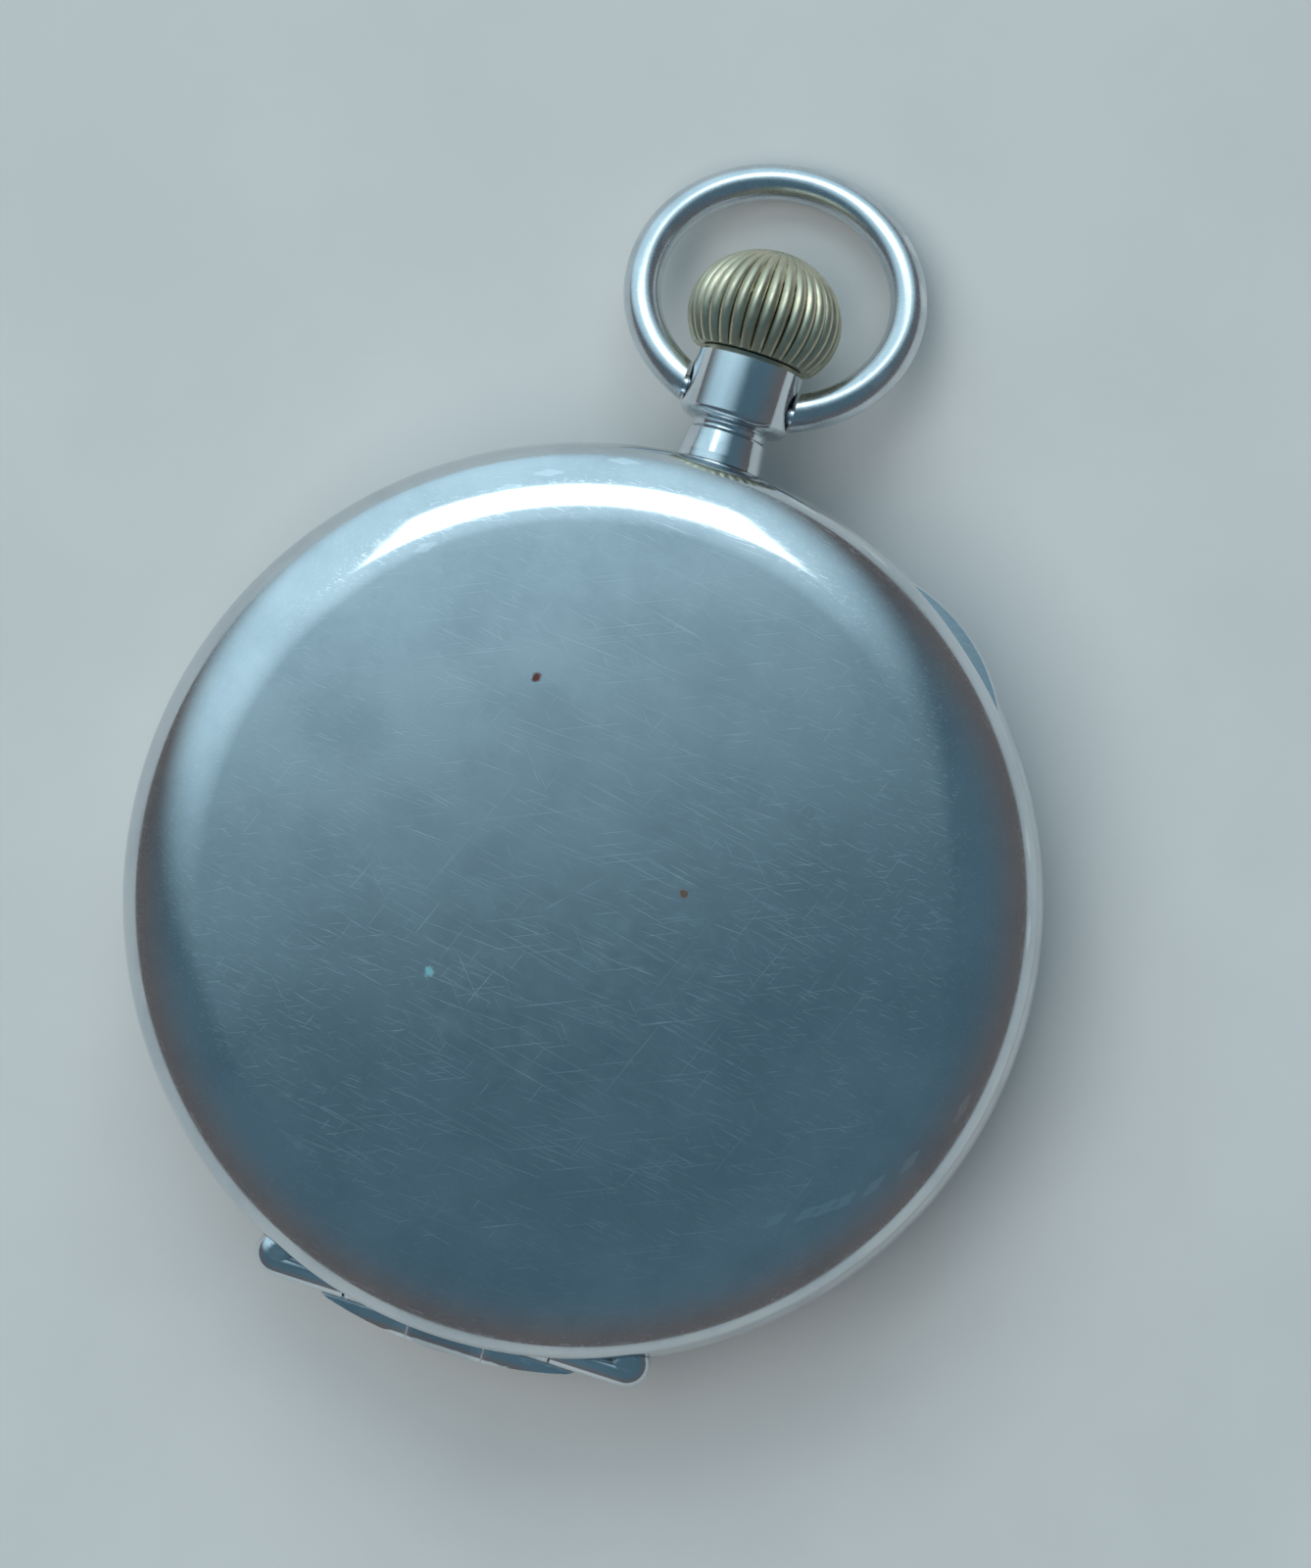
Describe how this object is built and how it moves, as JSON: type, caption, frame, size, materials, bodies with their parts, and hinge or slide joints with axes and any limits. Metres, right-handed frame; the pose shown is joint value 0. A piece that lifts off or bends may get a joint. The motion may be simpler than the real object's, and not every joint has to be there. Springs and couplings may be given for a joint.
{
  "type": "open face pocket watch",
  "caption": "Round open face pocket watch in a polished metal case with a hinged back, cuvette and bezel, a fluted ball crown, a swinging bow and a full lever movement.",
  "frame": {"origin": "centre of the crystal's flat front face, on which the watch lies", "axes": "+Z towards the back cover, +Y towards the pendant at 12 o'clock, +X to the right as seen from behind"},
  "size_m": [0.051, 0.0699, 0.013],
  "materials": {
    "case_metal": "polished",
    "crown_metal": "worn",
    "crystal": "clear",
    "gilt_plate": "gilt",
    "wheel_brass": "polished",
    "steel": "polished",
    "blued_steel": "blued",
    "jewel": "polished",
    "enamel": "gloss"
  },
  "bodies": {
    "case": {"case_middle": "case_metal", "pendant": "case_metal", "hinge_pin_back": "case_metal", "hinge_pin_front": "case_metal", "main_plate": "gilt_plate", "barrel_bridge": "gilt_plate", "train_bridge": "gilt_plate", "pallet_cock": "gilt_plate", "balance_cock": "gilt_plate", "case_screws": "blued_steel", "bridge_screws": "blued_steel", "cock_screws": "blued_steel", "plate_jewels": "jewel", "bridge_jewels": "jewel", "cap_jewel": "jewel", "crown_wheel_screw": "blued_steel", "click_spring": "steel", "hairspring_stud": "steel", "dial": "enamel", "seconds_dial": "enamel"},
    "back_cover": {"back_cover": "case_metal"},
    "cuvette": {"cuvette": "case_metal"},
    "bezel": {"bezel": "case_metal", "crystal": "crystal"},
    "bow": {"bow": "case_metal"},
    "winding_pinion": {"winding_pinion": "steel"},
    "crown": {"crown": "crown_metal", "winding_stem": "steel"},
    "clutch": {"clutch_wheel": "steel"},
    "setting_lever": {"setting_lever": "steel"},
    "yoke": {"yoke": "steel"},
    "barrel": {"barrel_drum": "wheel_brass", "barrel_lid": "wheel_brass", "mainspring": "blued_steel"},
    "ratchet": {"barrel_arbor": "steel", "ratchet_wheel": "steel", "ratchet_screw": "blued_steel"},
    "crown_wheel": {"crown_wheel": "steel"},
    "click": {"click": "steel"},
    "centre_wheel": {"centre_wheel": "wheel_brass"},
    "third_wheel": {"third_wheel": "wheel_brass"},
    "fourth_wheel": {"fourth_wheel": "wheel_brass", "seconds_hand": "blued_steel"},
    "escape_wheel": {"escape_wheel": "steel"},
    "pallet_fork": {"pallet_fork": "steel", "pallet_stones": "jewel"},
    "balance": {"balance_wheel": "gilt_plate", "balance_screws": "wheel_brass", "balance_staff": "steel", "roller": "steel", "hairspring": "blued_steel"},
    "regulator": {"regulator": "steel"},
    "cannon_pinion": {"cannon_pinion": "steel", "minute_hand": "blued_steel"},
    "minute_wheel": {"minute_wheel": "wheel_brass"},
    "hour_wheel": {"hour_wheel": "wheel_brass", "hour_hand": "blued_steel"},
    "setting_wheel": {"setting_wheel": "steel"}
  },
  "joints": [
    {"name": "back_cover_hinge", "type": "hinge", "parent": "case", "child": "back_cover", "pos_m": [0, -0.024, 0.007], "axis": [1, 0, 0], "range_deg": [0, 100]},
    {"name": "cuvette_hinge", "type": "hinge", "parent": "case", "child": "cuvette", "pos_m": [0, -0.024, 0.007], "axis": [1, 0, 0], "range_deg": [0, 72]},
    {"name": "bezel_hinge", "type": "hinge", "parent": "case", "child": "bezel", "pos_m": [0, -0.02515, 0.0043], "axis": [1, 0, 0], "range_deg": [-95, 0]},
    {"name": "bow_swing", "type": "hinge", "parent": "case", "child": "bow", "pos_m": [0, 0.0291, 0.0065], "axis": [1, 0, 0], "range_deg": [-95, 140]},
    {"name": "winding_spin", "type": "hinge", "parent": "case", "child": "winding_pinion", "pos_m": [0, 0.016, 0.0065], "axis": [0, 1, 0], "continuous": true},
    {"name": "crown_pull", "type": "slide", "parent": "winding_pinion", "child": "crown", "axis": [0, 1, 0], "range_m": [0, 0.001]},
    {"name": "clutch_slide", "type": "slide", "parent": "winding_pinion", "child": "clutch", "axis": [0, 1, 0], "range_m": [-0.00095, 0.00001]},
    {"name": "setting_lever_swing", "type": "hinge", "parent": "case", "child": "setting_lever", "pos_m": [0.005, 0.0186, 0.004], "axis": [0, 0, 1], "range_deg": [-12, 0.5]},
    {"name": "yoke_swing", "type": "hinge", "parent": "case", "child": "yoke", "pos_m": [-0.006, 0.0139, 0.004], "axis": [0, 0, 1], "range_deg": [-9, 0.5]},
    {"name": "crown_wheel_spin", "type": "hinge", "parent": "case", "child": "crown_wheel", "pos_m": [0, 0.01302, 0.0096], "axis": [0, 0, 1], "continuous": true},
    {"name": "ratchet_spin", "type": "hinge", "parent": "case", "child": "ratchet", "pos_m": [-0.00586, 0.00492, 0.0096], "axis": [0, 0, 1], "continuous": true},
    {"name": "click_lift", "type": "hinge", "parent": "case", "child": "click", "pos_m": [-0.01305, 0.00907, 0.0096], "axis": [0, 0, 1], "range_deg": [0, 12], "deforming": ["click_spring"]},
    {"name": "barrel_spin", "type": "hinge", "parent": "case", "child": "barrel", "pos_m": [-0.00586, 0.00492, 0.0075], "axis": [0, 0, 1], "continuous": true},
    {"name": "centre_spin", "type": "hinge", "parent": "case", "child": "centre_wheel", "pos_m": [0, 0, 0.007], "axis": [0, 0, 1], "continuous": true},
    {"name": "third_spin", "type": "hinge", "parent": "case", "child": "third_wheel", "pos_m": [0.00163, -0.00553, 0.007], "axis": [0, 0, 1], "continuous": true},
    {"name": "fourth_spin", "type": "hinge", "parent": "case", "child": "fourth_wheel", "pos_m": [0, -0.01, 0.007], "axis": [0, 0, 1], "continuous": true},
    {"name": "escape_spin", "type": "hinge", "parent": "case", "child": "escape_wheel", "pos_m": [0.00401, -0.01187, 0.007], "axis": [0, 0, 1], "continuous": true},
    {"name": "pallet_rock", "type": "hinge", "parent": "case", "child": "pallet_fork", "pos_m": [0.00672, -0.00998, 0.007], "axis": [0, 0, 1], "range_deg": [-4, 4]},
    {"name": "balance_swing", "type": "hinge", "parent": "case", "child": "balance", "pos_m": [0.01089, -0.00705, 0.0085], "axis": [0, 0, 1], "range_deg": [-270, 270], "deforming": ["hairspring"]},
    {"name": "regulator_turn", "type": "hinge", "parent": "case", "child": "regulator", "pos_m": [0.01089, -0.00705, 0.0104], "axis": [0, 0, 1], "range_deg": [-20, 20]},
    {"name": "minute_spin", "type": "hinge", "parent": "case", "child": "cannon_pinion", "pos_m": [0, 0, 0.004], "axis": [0, 0, 1], "continuous": true},
    {"name": "minute_wheel_spin", "type": "hinge", "parent": "case", "child": "minute_wheel", "pos_m": [0, 0.0032, 0.004], "axis": [0, 0, 1], "continuous": true},
    {"name": "hour_spin", "type": "hinge", "parent": "case", "child": "hour_wheel", "pos_m": [0, 0, 0.004], "axis": [0, 0, 1], "continuous": true},
    {"name": "setting_wheel_spin", "type": "hinge", "parent": "case", "child": "setting_wheel", "pos_m": [0, 0.00856, 0.0045], "axis": [0, 0, 1], "continuous": true}
  ],
  "couplings": [
    {"joint": "cuvette_hinge", "follows": "back_cover_hinge", "ratio": 0.7},
    {"joint": "clutch_slide", "follows": "crown_pull", "ratio": -0.9},
    {"joint": "setting_lever_swing", "follows": "crown_pull", "rad_per_m": -200},
    {"joint": "yoke_swing", "follows": "crown_pull", "rad_per_m": -150},
    {"joint": "crown_wheel_spin", "follows": "winding_spin", "ratio": -0.83333},
    {"joint": "ratchet_spin", "follows": "winding_spin", "ratio": 0.46875},
    {"joint": "third_spin", "follows": "fourth_spin", "ratio": -0.13333},
    {"joint": "centre_spin", "follows": "fourth_spin", "ratio": 0.016667},
    {"joint": "barrel_spin", "follows": "fourth_spin", "ratio": -0.0020833},
    {"joint": "escape_spin", "follows": "fourth_spin", "ratio": -10},
    {"joint": "minute_wheel_spin", "follows": "minute_spin", "ratio": -0.33333},
    {"joint": "hour_spin", "follows": "minute_spin", "ratio": 0.083333},
    {"joint": "setting_wheel_spin", "follows": "minute_spin", "ratio": 0.27027}
  ]
}
